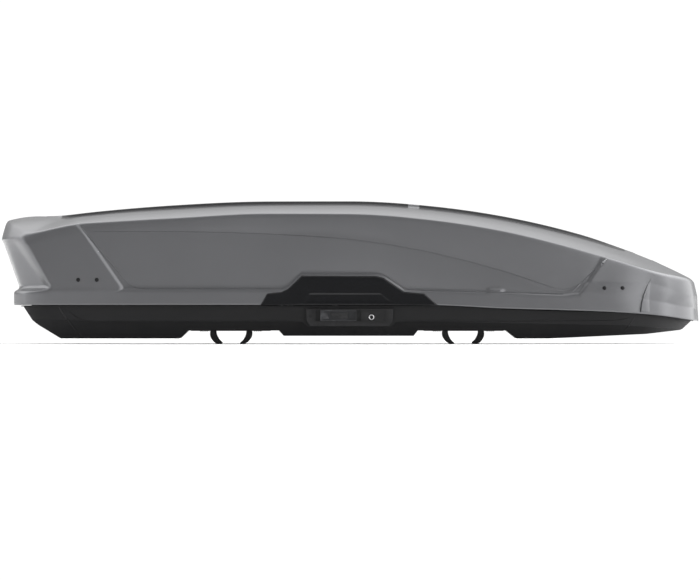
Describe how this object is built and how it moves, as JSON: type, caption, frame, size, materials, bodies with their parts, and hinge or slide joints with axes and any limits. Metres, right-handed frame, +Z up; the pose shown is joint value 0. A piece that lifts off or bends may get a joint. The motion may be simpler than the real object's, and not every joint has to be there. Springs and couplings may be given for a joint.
{
  "type": "roof cargo box",
  "caption": "Hard-shell roof cargo box with a domed lid that opens from either side, slide locks, lid struts and quick-clamp claws for roof bars.",
  "frame": {"origin": "on the ground plane that the clamp claws' tips stand on, at the middle of the box's length and width", "axes": "+X towards the nose (the vehicle's front), +Y to the vehicle's left, +Z up"},
  "size_m": [2.32, 0.9504, 0.4744],
  "materials": {
    "titan_paint": "fine metallic titan grey, satin clear coat",
    "tray_plastic": "fine leather grain, matte black",
    "grip_gloss": "piano black",
    "housing_plastic": "smooth satin black",
    "slider_plastic": "satin dark grey",
    "zinc_steel": "zinc plated",
    "pin_steel": "ground steel",
    "hoop_aluminium": "pressed, brushed",
    "rubber": "ribbed rubber",
    "claw_plastic": "glass-filled nylon, dark grey",
    "knob_plastic": "grained black",
    "key_chrome": "polished",
    "rivet_black": "black anodised",
    "strut_black": "black powder coat",
    "rod_steel": "hard chrome",
    "badge_plastic": "blank plaque, painted as the lid"
  },
  "bodies": {
    "base": {"base_tray": "tray_plastic", "clamp_rails": "zinc_steel", "bar_pads": "rubber", "strut_foot_brackets": "zinc_steel", "hinge_brackets_right": "zinc_steel", "lock_housing_right": "housing_plastic", "hinge_brackets_left": "zinc_steel", "lock_housing_left": "housing_plastic"},
    "left_pins": {"hinge_pins_left": "pin_steel"},
    "right_pins": {"hinge_pins_right": "pin_steel"},
    "lid": {"lid_shell": "titan_paint", "lid_rivets": "rivet_black", "nose_badge": "badge_plastic", "strut_head_brackets": "zinc_steel", "lid_hoop_rear": "hoop_aluminium", "lid_hoop_middle": "hoop_aluminium", "lid_hoop_front": "hoop_aluminium", "lid_catches_right": "zinc_steel", "lid_grip_right": "grip_gloss", "lid_catches_left": "zinc_steel", "lid_grip_left": "grip_gloss"},
    "strut_tube_rear": {"strut_tube_rear": "strut_black", "strut_pin_rear": "pin_steel"},
    "strut_sleeve_rear": {"strut_sleeve_rear": "strut_black"},
    "strut_rod_rear": {"strut_rod_rear": "rod_steel"},
    "strut_tube_front": {"strut_tube_front": "strut_black", "strut_pin_front": "pin_steel"},
    "strut_sleeve_front": {"strut_sleeve_front": "strut_black"},
    "strut_rod_front": {"strut_rod_front": "rod_steel"},
    "lock_right": {"lock_slider_right": "slider_plastic", "lock_bar_right": "zinc_steel"},
    "key_right": {"key_cylinder_right": "key_chrome"},
    "lock_left": {"lock_slider_left": "slider_plastic", "lock_bar_left": "zinc_steel"},
    "key_left": {"key_cylinder_left": "key_chrome"},
    "clamp_rear_right_carriage": {"clamp_rear_right_carriage": "zinc_steel"},
    "clamp_rear_right_knob": {"clamp_rear_right_knob": "knob_plastic", "clamp_rear_right_spindle": "pin_steel"},
    "clamp_rear_right_crosshead": {"clamp_rear_right_crosshead": "zinc_steel"},
    "clamp_rear_right_claw_rear": {"clamp_rear_right_claw_rear": "claw_plastic"},
    "clamp_rear_right_claw_front": {"clamp_rear_right_claw_front": "claw_plastic"},
    "clamp_rear_left_carriage": {"clamp_rear_left_carriage": "zinc_steel"},
    "clamp_rear_left_knob": {"clamp_rear_left_knob": "knob_plastic", "clamp_rear_left_spindle": "pin_steel"},
    "clamp_rear_left_crosshead": {"clamp_rear_left_crosshead": "zinc_steel"},
    "clamp_rear_left_claw_rear": {"clamp_rear_left_claw_rear": "claw_plastic"},
    "clamp_rear_left_claw_front": {"clamp_rear_left_claw_front": "claw_plastic"},
    "clamp_front_right_carriage": {"clamp_front_right_carriage": "zinc_steel"},
    "clamp_front_right_knob": {"clamp_front_right_knob": "knob_plastic", "clamp_front_right_spindle": "pin_steel"},
    "clamp_front_right_crosshead": {"clamp_front_right_crosshead": "zinc_steel"},
    "clamp_front_right_claw_rear": {"clamp_front_right_claw_rear": "claw_plastic"},
    "clamp_front_right_claw_front": {"clamp_front_right_claw_front": "claw_plastic"},
    "clamp_front_left_carriage": {"clamp_front_left_carriage": "zinc_steel"},
    "clamp_front_left_knob": {"clamp_front_left_knob": "knob_plastic", "clamp_front_left_spindle": "pin_steel"},
    "clamp_front_left_crosshead": {"clamp_front_left_crosshead": "zinc_steel"},
    "clamp_front_left_claw_rear": {"clamp_front_left_claw_rear": "claw_plastic"},
    "clamp_front_left_claw_front": {"clamp_front_left_claw_front": "claw_plastic"}
  },
  "joints": [
    {"name": "lid_open_right", "type": "hinge", "parent": "base", "child": "left_pins", "pos_m": [0, 0.457, 0.137], "axis": [-1, 0, 0], "range_deg": [0, 36]},
    {"name": "lid_open_left", "type": "hinge", "parent": "left_pins", "child": "lid", "pos_m": [0, -0.457, 0.137], "axis": [-1, 0, 0], "range_deg": [-36, 0]},
    {"name": "right_pins_turn", "type": "hinge", "parent": "base", "child": "right_pins", "pos_m": [0, -0.457, 0.137], "axis": [-1, 0, 0], "range_deg": [-36, 0]},
    {"name": "strut_rear_tilt", "type": "hinge", "parent": "left_pins", "child": "strut_tube_rear", "pos_m": [-0.867, 0, 0.0455], "axis": [-1, 0, 0], "range_deg": [-22.61, 0]},
    {"name": "strut_rear_sleeve_slide", "type": "slide", "parent": "strut_tube_rear", "child": "strut_sleeve_rear", "axis": [0, 0, 1], "range_m": [0, 0.13406]},
    {"name": "strut_rear_rod_slide", "type": "slide", "parent": "strut_sleeve_rear", "child": "strut_rod_rear", "axis": [0, 0, 1], "range_m": [0, 0.13406]},
    {"name": "strut_front_tilt", "type": "hinge", "parent": "right_pins", "child": "strut_tube_front", "pos_m": [0.59, 0, 0.0455], "axis": [-1, 0, 0], "range_deg": [0, 21.98]},
    {"name": "strut_front_sleeve_slide", "type": "slide", "parent": "strut_tube_front", "child": "strut_sleeve_front", "axis": [0, 0, 1], "range_m": [0, 0.13445]},
    {"name": "strut_front_rod_slide", "type": "slide", "parent": "strut_sleeve_front", "child": "strut_rod_front", "axis": [0, 0, 1], "range_m": [0, 0.13445]},
    {"name": "lock_right_slide", "type": "slide", "parent": "base", "child": "lock_right", "axis": [-1, 0, 0], "range_m": [0, 0.014]},
    {"name": "key_right_turn", "type": "hinge", "parent": "base", "child": "key_right", "pos_m": [0.071, 0, 0.089], "axis": [0, -1, 0], "range_deg": [0, 90]},
    {"name": "lock_left_slide", "type": "slide", "parent": "base", "child": "lock_left", "axis": [-1, 0, 0], "range_m": [0, 0.014]},
    {"name": "key_left_turn", "type": "hinge", "parent": "base", "child": "key_left", "pos_m": [0.071, 0, 0.089], "axis": [0, 1, 0], "range_deg": [0, 90]},
    {"name": "clamp_rear_right_slide", "type": "slide", "parent": "base", "child": "clamp_rear_right_carriage", "axis": [1, 0, 0], "range_m": [-0.045, 0.045]},
    {"name": "clamp_rear_right_knob_turn", "type": "hinge", "parent": "clamp_rear_right_carriage", "child": "clamp_rear_right_knob", "pos_m": [-0.395, -0.291, 0.1], "axis": [0, 0, -1], "range_deg": [-565.5, 377]},
    {"name": "clamp_rear_right_crosshead_lift", "type": "slide", "parent": "clamp_rear_right_carriage", "child": "clamp_rear_right_crosshead", "axis": [0, 0, 1], "range_m": [-0.00945, 0.0063]},
    {"name": "clamp_rear_right_claw_rear_turn", "type": "hinge", "parent": "clamp_rear_right_carriage", "child": "clamp_rear_right_claw_rear", "pos_m": [-0.445, -0.291, 0.075], "axis": [0, -1, 0], "range_deg": [-15.05, 10.05]},
    {"name": "clamp_rear_right_claw_front_turn", "type": "hinge", "parent": "clamp_rear_right_carriage", "child": "clamp_rear_right_claw_front", "pos_m": [-0.345, -0.291, 0.075], "axis": [0, 1, 0], "range_deg": [-15.05, 10.05]},
    {"name": "clamp_rear_left_slide", "type": "slide", "parent": "base", "child": "clamp_rear_left_carriage", "axis": [1, 0, 0], "range_m": [-0.045, 0.045]},
    {"name": "clamp_rear_left_knob_turn", "type": "hinge", "parent": "clamp_rear_left_carriage", "child": "clamp_rear_left_knob", "pos_m": [-0.395, 0.291, 0.1], "axis": [0, 0, -1], "range_deg": [-565.5, 377]},
    {"name": "clamp_rear_left_crosshead_lift", "type": "slide", "parent": "clamp_rear_left_carriage", "child": "clamp_rear_left_crosshead", "axis": [0, 0, 1], "range_m": [-0.00945, 0.0063]},
    {"name": "clamp_rear_left_claw_rear_turn", "type": "hinge", "parent": "clamp_rear_left_carriage", "child": "clamp_rear_left_claw_rear", "pos_m": [-0.445, 0.291, 0.075], "axis": [0, -1, 0], "range_deg": [-15.05, 10.05]},
    {"name": "clamp_rear_left_claw_front_turn", "type": "hinge", "parent": "clamp_rear_left_carriage", "child": "clamp_rear_left_claw_front", "pos_m": [-0.345, 0.291, 0.075], "axis": [0, 1, 0], "range_deg": [-15.05, 10.05]},
    {"name": "clamp_front_right_slide", "type": "slide", "parent": "base", "child": "clamp_front_right_carriage", "axis": [1, 0, 0], "range_m": [-0.045, 0.045]},
    {"name": "clamp_front_right_knob_turn", "type": "hinge", "parent": "clamp_front_right_carriage", "child": "clamp_front_right_knob", "pos_m": [0.376, -0.291, 0.1], "axis": [0, 0, -1], "range_deg": [-565.5, 377]},
    {"name": "clamp_front_right_crosshead_lift", "type": "slide", "parent": "clamp_front_right_carriage", "child": "clamp_front_right_crosshead", "axis": [0, 0, 1], "range_m": [-0.00945, 0.0063]},
    {"name": "clamp_front_right_claw_rear_turn", "type": "hinge", "parent": "clamp_front_right_carriage", "child": "clamp_front_right_claw_rear", "pos_m": [0.326, -0.291, 0.075], "axis": [0, -1, 0], "range_deg": [-15.05, 10.05]},
    {"name": "clamp_front_right_claw_front_turn", "type": "hinge", "parent": "clamp_front_right_carriage", "child": "clamp_front_right_claw_front", "pos_m": [0.426, -0.291, 0.075], "axis": [0, 1, 0], "range_deg": [-15.05, 10.05]},
    {"name": "clamp_front_left_slide", "type": "slide", "parent": "base", "child": "clamp_front_left_carriage", "axis": [1, 0, 0], "range_m": [-0.045, 0.045]},
    {"name": "clamp_front_left_knob_turn", "type": "hinge", "parent": "clamp_front_left_carriage", "child": "clamp_front_left_knob", "pos_m": [0.376, 0.291, 0.1], "axis": [0, 0, -1], "range_deg": [-565.5, 377]},
    {"name": "clamp_front_left_crosshead_lift", "type": "slide", "parent": "clamp_front_left_carriage", "child": "clamp_front_left_crosshead", "axis": [0, 0, 1], "range_m": [-0.00945, 0.0063]},
    {"name": "clamp_front_left_claw_rear_turn", "type": "hinge", "parent": "clamp_front_left_carriage", "child": "clamp_front_left_claw_rear", "pos_m": [0.326, 0.291, 0.075], "axis": [0, -1, 0], "range_deg": [-15.05, 10.05]},
    {"name": "clamp_front_left_claw_front_turn", "type": "hinge", "parent": "clamp_front_left_carriage", "child": "clamp_front_left_claw_front", "pos_m": [0.426, 0.291, 0.075], "axis": [0, 1, 0], "range_deg": [-15.05, 10.05]}
  ],
  "couplings": [
    {"joint": "right_pins_turn", "follows": "lid_open_left", "ratio": 1},
    {"joint": "strut_rear_tilt", "follows": "lid_open_left", "ratio": 0.6276},
    {"joint": "strut_rear_sleeve_slide", "follows": "lid_open_left", "m_per_rad": -0.21305},
    {"joint": "strut_rear_rod_slide", "follows": "lid_open_left", "m_per_rad": -0.21305},
    {"joint": "strut_front_tilt", "follows": "lid_open_right", "ratio": 0.61031},
    {"joint": "strut_front_sleeve_slide", "follows": "lid_open_right", "m_per_rad": 0.21366},
    {"joint": "strut_front_rod_slide", "follows": "lid_open_right", "m_per_rad": 0.21366},
    {"joint": "clamp_rear_right_crosshead_lift", "follows": "clamp_rear_right_knob_turn", "m_per_rad": 0.00095493},
    {"joint": "clamp_rear_right_claw_rear_turn", "follows": "clamp_rear_right_knob_turn", "ratio": 0.026526},
    {"joint": "clamp_rear_right_claw_front_turn", "follows": "clamp_rear_right_knob_turn", "ratio": 0.026526},
    {"joint": "clamp_rear_left_crosshead_lift", "follows": "clamp_rear_left_knob_turn", "m_per_rad": 0.00095493},
    {"joint": "clamp_rear_left_claw_rear_turn", "follows": "clamp_rear_left_knob_turn", "ratio": 0.026526},
    {"joint": "clamp_rear_left_claw_front_turn", "follows": "clamp_rear_left_knob_turn", "ratio": 0.026526},
    {"joint": "clamp_front_right_crosshead_lift", "follows": "clamp_front_right_knob_turn", "m_per_rad": 0.00095493},
    {"joint": "clamp_front_right_claw_rear_turn", "follows": "clamp_front_right_knob_turn", "ratio": 0.026526},
    {"joint": "clamp_front_right_claw_front_turn", "follows": "clamp_front_right_knob_turn", "ratio": 0.026526},
    {"joint": "clamp_front_left_crosshead_lift", "follows": "clamp_front_left_knob_turn", "m_per_rad": 0.00095493},
    {"joint": "clamp_front_left_claw_rear_turn", "follows": "clamp_front_left_knob_turn", "ratio": 0.026526},
    {"joint": "clamp_front_left_claw_front_turn", "follows": "clamp_front_left_knob_turn", "ratio": 0.026526}
  ]
}
